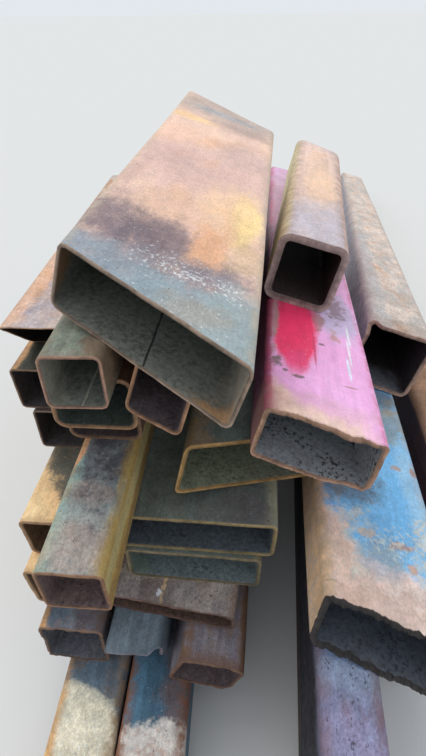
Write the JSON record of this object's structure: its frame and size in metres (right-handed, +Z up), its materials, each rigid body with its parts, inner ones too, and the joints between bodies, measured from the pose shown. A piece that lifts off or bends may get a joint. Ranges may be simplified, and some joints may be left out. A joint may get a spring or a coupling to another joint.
{
  "type": "heap of steel box sections",
  "caption": "Heap of used steel box sections in mixed sizes, laid lengthways over one another, with square, skewed and torn ends, rust, and worn pink and blue paint.",
  "frame": {"origin": "on the ground, under the middle of the heap's overall box", "axes": "+Y runs along the sections, away from the end with the open mouths that the picture shows, +X to the right seen from that end, +Z up"},
  "size_m": [0.9856, 2.8996, 0.7972],
  "materials": {
    "brown_rusted": "brown surface rust with grey scale",
    "pink_paint": "faded pink paint, scratched",
    "blue_paint": "worn pale blue paint with rust patches",
    "dark_steel": "dark mill scale with ochre edges",
    "slate_steel": "grey mill scale with rust specks",
    "mauve_steel": "mauve-grey weathered primer",
    "maroon_steel": "maroon-brown rust",
    "tan_steel": "pale tan dusty rust",
    "hidden_steel": "plain dark steel"
  },
  "bodies": {
    "root": {"runner_left": "slate_steel", "runner_right": "slate_steel", "base_square": "dark_steel", "base_slim": "dark_steel", "short_square": "maroon_steel", "short_prop": "hidden_steel", "flat_wide": "maroon_steel", "flat_prop": "hidden_steel", "wide_lower": "dark_steel", "wide_upper": "dark_steel", "left_lower": "tan_steel", "left_third": "tan_steel", "left_middle": "maroon_steel", "left_upper": "maroon_steel", "left_sloped": "tan_steel", "long_square": "mauve_steel", "thick_lower": "maroon_steel", "thick_upper": "maroon_steel", "small_square": "slate_steel", "edge_base": "hidden_steel", "edge_tall": "mauve_steel", "blue_rolled": "blue_paint", "blue_prop": "hidden_steel", "wide_tilted": "dark_steel", "pink_rolled": "pink_paint", "heavy_square": "brown_rusted", "small_leaning": "maroon_steel", "leaning_prop": "hidden_steel", "top_wide": "brown_rusted", "top_prop": "hidden_steel", "long_lean": "brown_rusted", "right_tall": "maroon_steel"}
  },
  "joints": []
}
